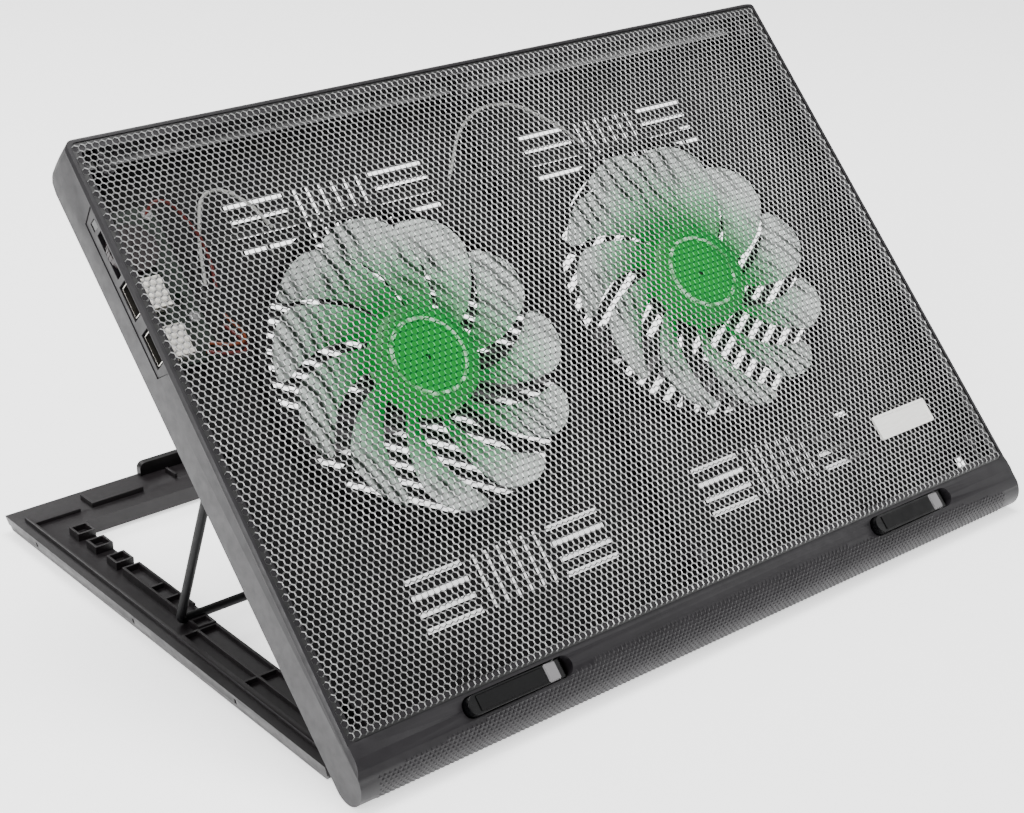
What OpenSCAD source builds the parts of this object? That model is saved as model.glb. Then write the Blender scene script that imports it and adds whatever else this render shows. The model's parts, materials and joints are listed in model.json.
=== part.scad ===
/* [Deck] */
// Width of the deck, side face to side face
deck_w = 380; // [376:1:384]
// Width of the perforated opening
mesh_w = 375; // [374:0.5:376]
// Depth of the perforated opening, front to back
mesh_d = 255; // [250:1:256]
// Angle of the deck above the table
tilt = 46; // [46:1:46]
// Thickness of the deck's side walls
wall_t = 2.2; // [2:0.1:2.4]
// Radius of the rounded front nose
nose_r = 9.2; // [9:0.1:9.2]
// Depth of the bottom cover's underside below the deck's top plane
cover_depth = 18; // [18:0.5:18]

/* [Fans] */
// Distance from the middle of the deck to each fan
fan_x = 77.7; // [76:0.1:80]
// Distance of the fans behind the mesh opening's front edge
fan_y = 132; // [130:1:134]
// Radius of a rotor over its blade tips
rotor_r = 68; // [60:1:68]
// Radius of a rotor hub
hub_r = 24; // [20:1:26]
// Number of blades on a rotor
blade_count = 11; // [5:1:11]
// Tilt of a blade about its own length
blade_pitch = 32; // [20:1:35]

/* [Base] */
// Length of the base frame behind the hinge axis
base_len = 262; // [260:1:264]
// Width of each side rail
rail_w = 23; // [22:1:24]
// Width of the rear rail
rear_w = 29; // [28:1:30]
// Height of the rail floor above the table
floor_z = 9; // [9:0.1:9]
// Height of the rubber feet below the base frame
foot_h = 1.6; // [1.4:0.1:2]

/* [Bail] */
// Radius of the wire
bail_r = 2; // [1.8:0.1:2]
// Distance of the crossbar behind the hinge axis
bail_y = 124.8; // [124.8:0.1:124.8]
// Length of a leg from the crossbar to its upper end
bail_leg = 95; // [94:1:95]
// Distance of each leg from the middle of the base
bail_x = 178.2; // [178:0.1:179]
// Angle of the legs above the table, measured from the rear
bail_angle = 113; // [113:1:113]

/* [Ports] */
// Distance of the rear socket behind the mesh opening's front edge
usb_rear_y = 188; // [187:0.5:189]
// Distance of the front socket behind the mesh opening's front edge
usb_front_y = 167; // [166:0.5:168]
// Depth of both sockets' middle below the deck's top plane
usb_z = -5.3; // [-5.5:0.1:-5.2]
// Distance of the speed dial behind the mesh opening's front edge
dial_y = 208; // [207:0.5:209]
// Radius of the speed dial
dial_r = 10.5; // [9:0.5:11]

/* [Stoppers] */
// Length of a stopper bar
stop_len = 48; // [44:1:50]
// Width of a stopper bar
stop_w = 8; // [7:0.5:8.5]
// Angle by which a stopper bar stands up out of its pocket
stop_raise = 5; // [4:1:8]

/* [Hidden] */

eps = 0.01;
fit_gap = 0.05;          // radial running clearance of pins and shafts
loose_gap = 0.3;         // gap between pieces that only lie side by side

// Deck coordinates: x from the middle, y back from the mesh opening's front edge,
// z up from the deck's top plane. The hinge axis lies at y = 0 under the opening's edge.
half_w = deck_w / 2;
half_m = mesh_w / 2;
back_y = mesh_d + 2;                 // outer back edge of the deck
hinge_w = -16;                       // hinge axis below the top plane
nose_y = -11.5;                      // middle of the nose's round
nose_z = -10.5;
front_bottom = nose_z - nose_r;      // underside of the deck at its front
rear_bottom = -23.4;                 // lower edge of the side walls at the back
cover_top = -cover_depth + 2;        // upper face of the bottom cover
mesh_t = 0.5;
mesh_top = -0.6;
ledge_top = mesh_top - mesh_t;

// World coordinates: origin on the table, in the middle of the outline at rest
hinge_z = 13.9;
nose_reach = nose_r - (nose_y * cos(tilt) - (nose_z - hinge_w) * sin(tilt));
hinge_y = (nose_reach - base_len) / 2;
base_front = hinge_y + 2;
base_rear = hinge_y + base_len;
crossbar_y = hinge_y + bail_y;
crossbar_z = floor_z + 0.4 + bail_r;

// Fan heights, in deck coordinates
rotor_top = -4.2;
rotor_bottom = -13.4;
shaft_r = 1.5;

ear_x = 179;                         // middle of a hinge ear
ear_t = 6;
pin_r = 1.5;
stop_y = -5.6;                       // middle line of the stopper pockets
stop_pivot_x = [-90.5, 139];         // pivot of the left and right stopper bars
stop_pivot_z = -3.6;
pocket_w = 8.8;
boss_at = [for (x = [-176, 0, 176], y = [14, 243]) [x, y]];
board_posts = [[-166, 176], [-166, 222]];
seat_y = 118;                        // middle of the stops for the bail's upper ends
notch_front = 10.3;                  // from the crossbar to the notch's front wall
motor_holes = [for (a = [60, 180, 300]) [19.5 * cos(a), 19.5 * sin(a)]];

// Puts children drawn in deck coordinates in place on the hinge
module on_deck() {
  translate([0, hinge_y, hinge_z]) rotate([tilt, 0, 0]) translate([0, 0, -hinge_w]) children();
}

// Extrudes a (y, z) outline along x, from x0 to x1
module along_x(x0, x1) {
  translate([x0, 0, 0]) rotate([90, 0, 90]) linear_extrude(x1 - x0) children();
}

// Extrudes an (x, z) outline along y, from y0 to y1
module along_y(y0, y1) {
  translate([0, y1, 0]) rotate([90, 0, 0]) linear_extrude(y1 - y0) children();
}

// Box between two corners
module block(a, b) {
  translate(a) cube(b - a);
}

// Slot with round ends along x
module slot_x(len, w, h) {
  cube([len - w, w, h], center = true);
  for (s = [-1, 1]) translate([s * (len - w) / 2, 0, 0]) cylinder(h = h, r = w / 2, center = true, $fn = 48);
}

// Rectangle with round corners, as a 2D outline
module round_rect(w, d, r) {
  square([w - 2 * r, d], center = true);
  square([w, d - 2 * r], center = true);
  for (sx = [-1, 1], sy = [-1, 1])
    translate([sx * (w / 2 - r), sy * (d / 2 - r)]) circle(r = r, $fn = 48);
}

// Side outline of the deck: crowned lip, round nose, tapering underside, slanted back
module deck_outline() {
  translate([nose_y, nose_z]) circle(r = nose_r, $fn = 120);
  polygon([[nose_y, front_bottom], [-4, front_bottom], [246, rear_bottom], [250.5, rear_bottom + 1.2],
    [253, rear_bottom + 4.4], [back_y, -1.4], [back_y - 1.2, -0.2], [0, 0], [-2, 0.4], [-6, 0.4],
    [-10.5, -0.4], [-14.5, -1.8]]);
}

// Hollow inside the deck frame, open below behind the nose
module deck_hollow() {
  translate([nose_y, nose_z]) circle(r = nose_r - 2.3, $fn = 96);
  polygon([[nose_y, nose_z - nose_r + 2.3], [2.5, front_bottom + 2.3], [2.5, rear_bottom - 4],
    [250.2, rear_bottom - 4], [250.8, rear_bottom + 3], [254.2, ledge_top - 1.6],
    [nose_y - 1, ledge_top - 2.2]]);
}

// Cylinder along x, centred on a point
module rod_x(p, r, len, fn = 48) {
  translate(p) rotate([0, 90, 0]) cylinder(h = len, r = r, center = true, $fn = fn);
}

// Base frame: tray-like outer body with slanted sides and a skirt step
module base_outer() {
  intersection() {
    along_y(base_front, base_rear)
      polygon([[-half_w + 2, foot_h], [half_w - 2, foot_h], [half_w - 1.4, 4.6], [half_w - 0.9, 4.6],
        [half_w, floor_z], [-half_w, floor_z], [-half_w + 0.9, 4.6], [-half_w + 1.4, 4.6]]);
    along_x(-half_w, half_w)
      polygon([[base_front, foot_h + 2], [base_front + 2, foot_h], [base_rear - 2, foot_h],
        [base_rear, floor_z], [base_front, floor_z]]);
  }
}

// Window of the base frame, cut right through
module base_window(z0, z1, grow = 0) {
  block([-half_w + rail_w - grow, base_front + 20 - grow, z0],
    [half_w - rail_w + grow, base_rear - rear_w + grow, z1]);
}

module hinge_ear(side) {
  translate([side * ear_x, 0, 0]) {
    rod_x([0, hinge_y, hinge_z], 4, ear_t);
    along_x(-ear_t / 2, ear_t / 2)
      polygon([[hinge_y - 3.9, hinge_z - 0.8], [hinge_y + 3.9, hinge_z + 0.8], [hinge_y + 9, floor_z - 1],
        [hinge_y + 9, foot_h + 3], [base_front, foot_h + 3], [base_front, 7]]);
  }
}

module base_frame() {
  rib_x = half_w - 5.2;
  color("#2a2526") difference() {
    union() {
      difference() {
        base_outer();
        base_window(0, 20);
        // hollow underside of the rails
        difference() {
          block([-half_w + 4, base_front + 2.2, 0], [half_w - 4, base_rear - 4, floor_z - 2]);
          base_window(-1, floor_z, 2);
          for (s = [-1, 1]) block([s * ear_x - 5, base_front, 0], [s * ear_x + 5, base_front + 12, 20]);
        }
      }
      // locating ribs that stand inside the closed deck's skirt
      for (s = [-1, 1])
        block([s * rib_x - 0.7, base_front + 12, floor_z - eps], [s * rib_x + 0.7, base_rear - 11, floor_z + 2]);
      // stiffening ribs of the rear rail
      for (s = [-1, 1]) mirror([s > 0 ? 1 : 0, 0, 0]) {
        block([-rib_x, base_rear - 18.7, floor_z - eps], [-161, base_rear - 17.5, floor_z + 1.6]);
        block([-155, base_rear - 18.7, floor_z - eps], [-128, base_rear - 17.3, floor_z + 2.4]);
        block([-155, base_rear - 18.7, floor_z - eps], [-153.6, base_rear - 7, floor_z + 2.4]);
        block([-109.5, base_rear - 16, floor_z - eps], [-108.1, base_rear - 7, floor_z + 2.4]);
      }
      for (s = [-1, 1]) hinge_ear(s);
    }
    for (s = [-1, 1]) rod_x([s * ear_x, hinge_y, hinge_z], pin_r, ear_t + 2);
    // clip notches in the outer wall of both rails
    for (s = [-1, 1], y = [64, 144, 231])
      block([s * half_w - 1.6, hinge_y + y, 2.8], [s * half_w + 1.6, hinge_y + y + 1.6, 7.2]);
    // screw holes of the rear lug
    for (x = [-60, 60]) translate([x, base_rear - 8, 0]) cylinder(h = 20, r = 1.3, $fn = 32);
  }
}

// Open-topped box with thin walls, standing on the rail floor
module open_box(x0, x1, y0, y1, h) {
  difference() {
    block([x0, y0, floor_z], [x1, y1, floor_z + h]);
    block([x0 + 1.1, y0 + 1.1, floor_z + 0.8], [x1 - 1.1, y1 - 1.1, floor_z + h + 1]);
  }
}

// One side's row of height steps: three boxes, a long divided box, a notch, a ribbed block
module ratchet_row() {
  x0 = -half_w + 14.3;
  x1 = -half_w + rail_w;
  box_h = 3.6;
  for (y = [217.5, 201.5, 183])
    open_box(x0, x1, hinge_y + y, hinge_y + y + 9, box_h);
  difference() {
    open_box(x0, x1, hinge_y + 131, hinge_y + 178, box_h);
    block([x0 + 1.1, hinge_y + 129, floor_z + 0.8], [x1 - 1.1, hinge_y + 134, floor_z + 9]);
  }
  for (y = [143, 155.5])
    block([x0 + 0.5, hinge_y + y, floor_z], [x1 - 0.5, hinge_y + y + 1.1, floor_z + 3]);
  // notch saddle that carries the crossbar
  difference() {
    block([x0, crossbar_y - notch_front, floor_z], [x1, hinge_y + 131, floor_z + 2.4]);
    rod_x([x0 + 4, crossbar_y, crossbar_z], bail_r + fit_gap, 30, 64);
    block([x0 - 1, crossbar_y - bail_r - fit_gap, crossbar_z], [x1 + 1, crossbar_y + bail_r + fit_gap, 30]);
    block([x0 + 1.1, crossbar_y + 3.4, floor_z + 0.8], [x1 - 1.1, hinge_y + 132, 30]);
    block([x0 + 1.1, crossbar_y - notch_front + 1.2, floor_z + 0.8], [x1 - 1.1, crossbar_y - 3.6, 30]);
  }
  // ribbed block in front of the notch, with one lengthwise rib and cross ribs
  front_y = base_front + 14;
  block_rear = crossbar_y - notch_front;
  for (x = [-half_w + 5.9, x0 - 1.3, x1 - 1.2])
    block([x, front_y, floor_z], [x + 1.2, block_rear, floor_z + 2]);
  for (y = [block_rear - 1.2, block_rear - 47, front_y])
    block([-half_w + 5.9, y, floor_z], [x1, y + 1.2, floor_z + 2]);
}

module ratchet_blocks() {
  color("#2b2627") for (s = [0, 1]) mirror([s, 0, 0]) ratchet_row();
}

// Raised lug across the rear rail that stops the closed deck from sliding back
module rear_lug() {
  lug_w = 242;
  lug_h = 6.5;
  corner = 3;
  color("#1a1819") difference() {
    union() {
      along_y(base_rear - 3.6, base_rear) translate([0, floor_z]) {
        translate([-lug_w / 2, 0]) square([lug_w, lug_h - corner]);
        translate([-lug_w / 2 + corner, 0]) square([lug_w - 2 * corner, lug_h]);
        for (s = [-1, 1]) translate([s * (lug_w / 2 - corner), lug_h - corner]) circle(r = corner, $fn = 48);
      }
      for (x = [-60, 60]) block([x - 7, base_rear - 13, floor_z], [x + 7, base_rear - 3.6 + eps, floor_z + 2]);
    }
    for (x = [-60, 60]) translate([x, base_rear - 8, 0]) cylinder(h = 30, r = 1.3, $fn = 32);
  }
}

module base_feet() {
  color("#101010") for (sx = [-1, 1], y = [base_front + 22, base_rear - 14])
    translate([sx * (half_w - 13), y, 0]) difference() {
      union() {
        cylinder(h = foot_h, r = 5, $fn = 64);
        cylinder(h = floor_z - 2, r = 2.5, $fn = 48);
      }
      translate([0, 0, -eps]) cylinder(h = 0.5, r = 2, $fn = 48);
    }
}

module hinge_pins() {
  color("silver") for (s = [-1, 1])
    rod_x([s * (ear_x + 0.5), hinge_y, hinge_z], pin_r, 15, 64);
}

// Round-ended stopper pocket in the lip
module stopper_pocket(x) {
  translate([x - (stop_len - 4.9) / 2, stop_y, -2]) slot_x(stop_len + 6.1, pocket_w, 10);
}

module deck_frame() {
  color("#58565b") on_deck() difference() {
    union() {
      difference() {
        intersection() {
          along_x(-half_w, half_w) deck_outline();
          translate([0, (back_y - 25) / 2, -40])
            linear_extrude(60) round_rect(deck_w, back_y + 25, 5.5);
        }
        along_x(-half_w + wall_t, half_w - wall_t) deck_hollow();
        // mesh opening with its ledge
        translate([0, mesh_d / 2, -10]) linear_extrude(20) round_rect(mesh_w - 7, mesh_d - 7, 2);
        translate([0, mesh_d / 2, ledge_top]) linear_extrude(20) round_rect(mesh_w, mesh_d, 3);
        // bevel along both side edges
        for (s = [0, 1]) mirror([s, 0, 0]) along_y(-30, back_y + 5)
          polygon([[half_w - 1.3, 0.6], [half_w + 1, 0.6], [half_w + 1, -1.7], [half_w, -1.2], [half_w - 1.2, 0]]);
      }
      // stopper housings under the lip
      for (x = stop_pivot_x)
        block([x - stop_len - 3.5, stop_y - 5.6, -8.6], [x + 9.5, stop_y + 5.9, -2.6]);
      // hinge bosses on the cheeks and beside the ears
      for (s = [-1, 1]) {
        rod_x([s * 185.2, 0, hinge_w], 3.5, 6.2);
        rod_x([s * 173, 0, hinge_w], 3.5, 5);
        block([s * 173 - 2.5, -8, front_bottom + 1], [s * 173 + 2.5, -0.5, hinge_w + 3.5]);
      }
      // screw bosses
      for (p = boss_at) translate([p[0], p[1], cover_top]) cylinder(h = ledge_top - 1 - cover_top, r = 3.4, $fn = 48);
      for (p = boss_at) block([p[0] - 1, p[1] < 100 ? -2 : p[1], -9], [p[0] + 1, p[1] < 100 ? p[1] : 253, ledge_top - 1]);
    }
    for (x = stop_pivot_x) {
      stopper_pocket(x);
      // pin bore across the pocket
      translate([x, stop_y - 5, stop_pivot_z]) rotate([-90, 0, 0]) cylinder(h = 10, r = 0.8, $fn = 32);
    }
    // slots in the underside for the hinge ears
    for (s = [-1, 1])
      block([s * ear_x - ear_t / 2 - 0.3, -6, -30], [s * ear_x + ear_t / 2 + 0.3, 10, hinge_w + 4.5]);
    for (s = [-1, 1]) rod_x([s * ear_x, 0, hinge_w], pin_r + fit_gap, 18, 64);
    for (p = boss_at) translate([p[0], p[1], cover_top - 1]) cylinder(h = 9, r = 1.3, $fn = 32);
    // recess and window for the port panel
    along_x(-half_w - 1, -half_w + 0.9) port_outline(0.25);
    along_x(-half_w - 1, -half_w + 7) polygon([[157, -2.3], [225, -2.3], [224, -10.4], [158, -10.4]]);
  }
}

// Outline of the port panel in deck (y, z)
module port_outline(grow = 0) {
  polygon([[154.6 - grow, -1.7 + grow * 0.6], [228 + grow, -1.7 + grow * 0.6], [225.4 + grow, -11.2 - grow],
    [157.2 - grow, -11.2 - grow]]);
}

module port_panel() {
  color("#525056") on_deck() difference() {
    union() {
      along_x(-half_w + 0.3, -half_w + 0.9) port_outline();
      along_x(-half_w + 0.9 - eps, -half_w + wall_t) polygon([[157.3, -2.6], [224.7, -2.6], [223.7, -10.2], [158.3, -10.2]]);
    }
    for (y = [usb_rear_y, usb_front_y]) block([-200, y - 7.6, usb_z - 3.3], [-180, y + 7.6, usb_z + 3.3]);
    block([-200, dial_y - 9.8, -6.9], [-180, dial_y + 9.8, -2.9]);
    block([-200, 219.9, -7.9], [-180, 223.7, -3.5]);
  }
}

module indicator_lens() {
  color("#d8e8d8") on_deck() block([-half_w + 0.6, 220.1, -7.7], [-half_w + 4, 223.5, -3.7]);
}

// Metal socket shell with its plastic tongue and four contacts
module usb_socket(y) {
  color("silver") on_deck() translate([-half_w + 1, y, usb_z]) {
    difference() {
      block([0, -6.6, -2.85], [14, 6.6, 2.85]);
      block([-1, -6.25, -2.5], [13.6, 6.25, 2.5]);
    }
    block([1.6, -5.6, 0.3], [13.6 + eps, 5.6, 2.1]);
    for (i = [-1.5:1:1.5]) block([2.2, i * 2.5 - 0.6, 0.1], [11, i * 2.5 + 0.6, 0.3 + eps]);
    for (s = [-1, 1]) block([5, s * 6.7 - 0.3, -3.2], [8, s * 6.7 + 0.3, -1]);
  }
}
module usb_socket_rear() { usb_socket(usb_rear_y); }
module usb_socket_front() { usb_socket(usb_front_y); }

board_top = usb_z - 3.2;
module control_board() {
  color("#1d5a34") on_deck() difference() {
    block([-half_w + 3.2, 158, board_top - 1.4], [-162, 226, board_top]);
    for (p = board_posts) translate([p[0], p[1], -20]) cylinder(h = 20, r = 1.5, $fn = 32);
  }
  // small electronic parts on the board
  color("#181818") on_deck() {
    block([-174, 205, board_top - eps], [-168, 211, board_top + 1.6]);
    block([-172, 196, board_top - eps], [-169, 201, board_top + 1.2]);
    translate([-168, 186, board_top - eps]) cylinder(h = 5, r = 2, $fn = 32);
  }
}

module indicator_led() {
  color("#e6f5e6") on_deck() {
    translate([-half_w + 6.4, 221.8, -5.7]) rotate([0, 90, 0]) cylinder(h = 4.5, r = 1.5, center = true, $fn = 32);
    block([-half_w + 7.6, 221, board_top], [-half_w + 8.4, 222.6, -5]);
  }
}

dial_x = -half_w + 10.3;
dial_z = -4.9;
module dial_potentiometer() {
  color("#2c2c2e") on_deck() translate([dial_x, dial_y, board_top]) {
    cylinder(h = dial_z - 1.9 - board_top, r = 5, $fn = 48);
    cylinder(h = 4.6, r = 1.5, $fn = 48);
  }
}

module speed_dial() {
  color("#3a2a2c") on_deck() translate([dial_x, dial_y, dial_z]) difference() {
    union() {
      cylinder(h = 3, r = dial_r - 0.4, center = true, $fn = 96);
      for (i = [0:35]) rotate([0, 0, i * 10]) translate([dial_r - 0.7, 0, 0]) cube([1, 0.8, 3], center = true);
    }
    cylinder(h = 5, r = 1.5 + fit_gap, center = true, $fn = 48);
  }
}

// Sheet steel panel; its perforation is too fine for this model
module mesh_panel() {
  color("#161618") on_deck() translate([0, mesh_d / 2, ledge_top])
    linear_extrude(mesh_t) round_rect(mesh_w - 0.6, mesh_d - 0.6, 2.7);
}

module name_plate() {
  color("#e9e6dc") on_deck() translate([141.2, 34.7, mesh_top]) {
    linear_extrude(0.8) round_rect(35.4, 11.6, 1);
    translate([0, 0, 0.8 - eps]) linear_extrude(0.5) difference() {
      round_rect(35.4, 11.6, 1);
      round_rect(33.4, 9.6, 0.6);
    }
  }
}

// Parallel grille slots under one fan; side mirrors their slant
module grille_slots(side) {
  intersection() {
    difference() {
      circle(r = rotor_r - 2, $fn = 96);
      circle(r = hub_r + 1, $fn = 96);
      for (a = [32, 122]) rotate(side * a) square([2 * rotor_r, 5], center = true);
    }
    rotate(-side * 32) for (i = [-9:9]) translate([0, i * 7 + 3.5]) square([2 * rotor_r, 3.4], center = true);
  }
}

// Vent group before and behind a fan: two sets of rows and a set of cross slots
module vent_group() {
  for (s = [-1, 1], r = [-1.5:1:1.5])
    translate([s * 36, r * 7]) square([29, 2.4], center = true);
  for (i = [-2.5:1:2.5]) translate([i * 6.3, 0]) square([2.4, 23.5], center = true);
}

// Direction of the grille spoke that a fan's lead follows
function lead_angle(side) = 90 - side * 32;

// Wall of the air duct round one fan, with a gate for the lead
module duct_wall(side) {
  translate([side * fan_x, fan_y, cover_top]) difference() {
    translate([0, 0, -eps]) cylinder(h = 6, r = rotor_r + 4.2, $fn = 128);
    cylinder(h = 18, r = rotor_r + 2.4, center = true, $fn = 128);
    rotate(lead_angle(side)) block([rotor_r, -1.6, -eps], [rotor_r + 8, 1.6, 2.2]);
  }
}

module bottom_cover() {
  color("#39373a") on_deck() difference() {
    union() {
      block([-half_w + wall_t + loose_gap, 4, -cover_depth], [half_w - wall_t - loose_gap, 249.6, cover_top]);
      for (s = [-1, 1]) duct_wall(s);
      for (p = board_posts) translate([p[0], p[1], cover_top - eps])
        cylinder(h = board_top - 1.4 - cover_top + eps, r = 2.6, $fn = 32);
      // stiffening ribs, with a gap for the leads
      for (x = [-3, 3], y = [[24, 205], [209, 233]])
        block([x - 0.7, y[0], cover_top - eps], [x + 0.7, y[1], cover_top + 4]);
      // raised roofs of the two bail channels
      for (s = [-1, 1]) block([s * 179 - 6.5, 120.8, cover_top - eps], [s * 179 + 6.5, 225.6, cover_top + 4]);
    }
    for (s = [-1, 1]) translate([s * fan_x, fan_y, -cover_depth - 1]) linear_extrude(4) grille_slots(-s);
    for (s = [-1, 1], y = [39.5, 210.5]) translate([s * fan_x, y, -cover_depth - 1]) linear_extrude(4) vent_group();
    // sunk holes for the screws that hold the cover and the motors
    for (p = boss_at) translate([p[0], p[1], -cover_depth]) {
      translate([0, 0, -1]) cylinder(h = 5, r = 1.7, $fn = 32);
      translate([0, 0, -1]) cylinder(h = 2.25, r = 3, $fn = 32);
    }
    for (s = [-1, 1], p = motor_holes) translate([s * fan_x + p[0], fan_y + p[1], -cover_depth]) {
      translate([0, 0, -1]) cylinder(h = 5, r = 1.4, $fn = 32);
      translate([0, 0, -1]) cylinder(h = 2.25, r = 2.6, $fn = 32);
    }
    for (p = board_posts) translate([p[0], p[1], -15]) cylinder(h = 9, r = 1.1, $fn = 32);
    // room for the hinge ears
    for (s = [-1, 1]) block([s * ear_x - ear_t / 2 - 0.3, 2, -30], [s * ear_x + ear_t / 2 + 0.3, 10, 0]);
    // channels that the bail's upper ends run in, and the holes of their stops
    for (s = [-1, 1]) {
      block([s * 179.1 - 5.3, seat_y + 4.2, -cover_depth - 1], [s * 179.1 + 5.3, 130, -16.2]);
      block([s * 179.1 - 5.3, 130 - eps, -cover_depth - 1], [s * 179.1 + 5.3, 224, -13.2]);
      translate([s * 182.3, seat_y, -cover_depth - 1]) cylinder(h = 5, r = 1.1, $fn = 32);
    }
  }
}

// Motor with mounting plate, stator and fixed spindle
module fan_motor(side) {
  color("#202022") on_deck() translate([side * fan_x, fan_y, 0]) {
    difference() {
      translate([0, 0, cover_top]) cylinder(h = 1.4, r = 23, $fn = 96);
      for (p = motor_holes) translate([p[0], p[1], -20]) cylinder(h = 20, r = 1.4, $fn = 32);
    }
    translate([0, 0, cover_top]) cylinder(h = rotor_top - 3.4 - cover_top, r = 15, $fn = 96);
    translate([0, 0, cover_top]) cylinder(h = rotor_top - 1.4 - cover_top, r = shaft_r, $fn = 48);
  }
}
module fan_motor_left() { fan_motor(-1); }
module fan_motor_right() { fan_motor(1); }

// Four light-emitting diodes on each motor's mounting plate
module fan_leds(side) {
  color("#7dff9a") on_deck() translate([side * fan_x, fan_y, cover_top + 1.4])
    for (a = [0, 90, 180, 270]) rotate([0, 0, a + 15]) translate([16.9, 0, 0]) cylinder(h = 3, r = 1.5, $fn = 32);
}
module fan_leds_left() { fan_leds(-1); }
module fan_leds_right() { fan_leds(1); }

// Rotor cup with its blades
module fan_rotor(side) {
  blade_mid = (hub_r + rotor_r) / 2;
  color("#dfe9e2", 0.6) on_deck() translate([side * fan_x, fan_y, 0]) {
    difference() {
      translate([0, 0, rotor_bottom]) cylinder(h = rotor_top - rotor_bottom, r = hub_r, $fn = 96);
      translate([0, 0, rotor_bottom - 1]) cylinder(h = rotor_top - 2.2 - rotor_bottom + 1, r = hub_r - 1.8, $fn = 96);
      translate([0, 0, rotor_bottom]) cylinder(h = rotor_top - 1 - rotor_bottom, r = shaft_r + fit_gap, $fn = 48);
    }
    // ring round the label recess
    translate([0, 0, rotor_top - eps]) difference() {
      cylinder(h = 0.8, r = 17.6, $fn = 96);
      cylinder(h = 5, r = 16, center = true, $fn = 96);
    }
    intersection() {
      translate([0, 0, rotor_bottom]) difference() {
        cylinder(h = rotor_top - rotor_bottom - 0.6, r = rotor_r, $fn = 128);
        translate([0, 0, -1]) cylinder(h = 30, r = hub_r - 0.9, $fn = 96);
      }
      for (i = [0:blade_count - 1]) rotate([0, 0, i * 360 / blade_count])
        translate([blade_mid, 0, (rotor_top + rotor_bottom) / 2 - 0.3]) rotate([blade_pitch, 0, 0])
          cube([rotor_r - hub_r + 6, 15, 1.4], center = true);
    }
  }
}
module fan_rotor_left() { fan_rotor(-1); }
module fan_rotor_right() { fan_rotor(1); }

// Straight stretch of a flat lead between two points
module lead(a, b) {
  translate(a) rotate(atan2(b[1] - a[1], b[0] - a[0])) translate([-0.7, -0.8]) square([norm(b - a) + 1.4, 1.6]);
}
module fan_leads() {
  gate = rotor_r + 7;
  trunk_y = 207;
  color("#101010") on_deck() {
    translate([0, 0, cover_top]) linear_extrude(1.2) {
      lead([-163, 184], [-154, 184]);
      lead([-154, 184], [-152, trunk_y]);
      lead([-152, trunk_y], [fan_x + gate * cos(lead_angle(1)), trunk_y]);
      for (s = [-1, 1]) {
        c = [s * fan_x, fan_y];
        dir = [cos(lead_angle(s)), sin(lead_angle(s))];
        lead([c[0] + gate * dir[0], trunk_y], c + gate * dir);
        lead(c + gate * dir, c + 24.2 * dir);
      }
    }
    block([-163.6, 183.4, cover_top], [-162.4, 184.6, board_top - 1.4]);
  }
}

// Flat-headed screw pointing up from below
module screw(p, head_r, r, z0, z1) {
  translate([p[0], p[1], z0]) cylinder(h = 1.2, r = head_r, $fn = 32);
  translate([p[0], p[1], z0]) cylinder(h = z1 - z0, r = r, $fn = 32);
}
module motor_screws() {
  color("silver") on_deck() for (s = [-1, 1], p = motor_holes)
    screw([s * fan_x + p[0], fan_y + p[1]], 2.4, 1.3, -cover_depth, cover_top + 2.2);
}
module cover_screws() {
  color("#303030") on_deck() for (p = boss_at) screw(p, 2.8, 1.25, -cover_depth, cover_top + 6);
}
module board_screws() {
  color("silver") on_deck() for (p = board_posts) {
    translate([p[0], p[1], board_top]) cylinder(h = 1.2, r = 2.4, $fn = 32);
    translate([p[0], p[1], board_top - 5]) cylinder(h = 5, r = 1.05, $fn = 32);
  }
}

// Stops under the cover that the bail's upper ends push against at rest
module bail_seats() {
  color("#232123") on_deck() for (s = [-1, 1]) {
    translate([s * 182.3, seat_y, -cover_depth - eps]) cylinder(h = 1.9, r = 1.05, $fn = 32);
    block([s * 182.3 - 1.5, seat_y - 2, -cover_depth - 4], [s * 182.3 + 1.5, seat_y + 1.9, -cover_depth]);
  }
}

// Bail of one bent wire: crossbar, two legs, and upper ends turned outward
module prop_bail() {
  bend = 2.5;
  color("#141414") translate([0, crossbar_y, crossbar_z]) rotate([bail_angle, 0, 0]) {
    rod_x([0, 0, 0], bail_r, 2 * (bail_x - bend), 48);
    for (s = [0, 1]) mirror([s, 0, 0]) translate([bail_x - bend, bend, 0]) {
      rotate([0, 0, -90]) rotate_extrude(angle = 90) translate([bend, 0]) circle(r = bail_r, $fn = 48);
      translate([bend, 0, 0]) rotate([-90, 0, 0]) cylinder(h = bail_leg - 2 * bend, r = bail_r, $fn = 48);
      translate([2 * bend, bail_leg - 2 * bend, 0]) rotate([0, 0, 90]) rotate_extrude(angle = 90)
        translate([bend, 0]) circle(r = bail_r, $fn = 48);
      translate([2 * bend, bail_leg - bend, 0]) rotate([0, 90, 0]) cylinder(h = 1.6, r = bail_r, $fn = 48);
    }
  }
}

// Stopper bar turning on a pin at its right end, with a bore for the pin
module stopper(i) {
  x = stop_pivot_x[i];
  color("#0e0e10") on_deck() translate([x, stop_y, stop_pivot_z]) rotate([0, stop_raise, 0]) difference() {
    union() {
      block([stop_w / 2 - stop_len + 0.4, -stop_w / 2, -1.6], [0, stop_w / 2, 2.8]);
      translate([stop_w / 2 - stop_len + 0.4, 0, -1.6]) cylinder(h = 4.4, r = stop_w / 2, $fn = 48);
      translate([0, 0, 0.6]) rotate([90, 0, 0]) cylinder(h = stop_w, r = 2.2, center = true, $fn = 48);
    }
    rotate([90, 0, 0]) cylinder(h = 20, r = 0.8 + fit_gap, center = true, $fn = 48);
    block([-stop_len + 5, -stop_w / 2 + 1, 2.2], [-9, stop_w / 2 - 1, 4]);
  }
}
module stopper_left() { stopper(0); }
module stopper_right() { stopper(1); }

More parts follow.
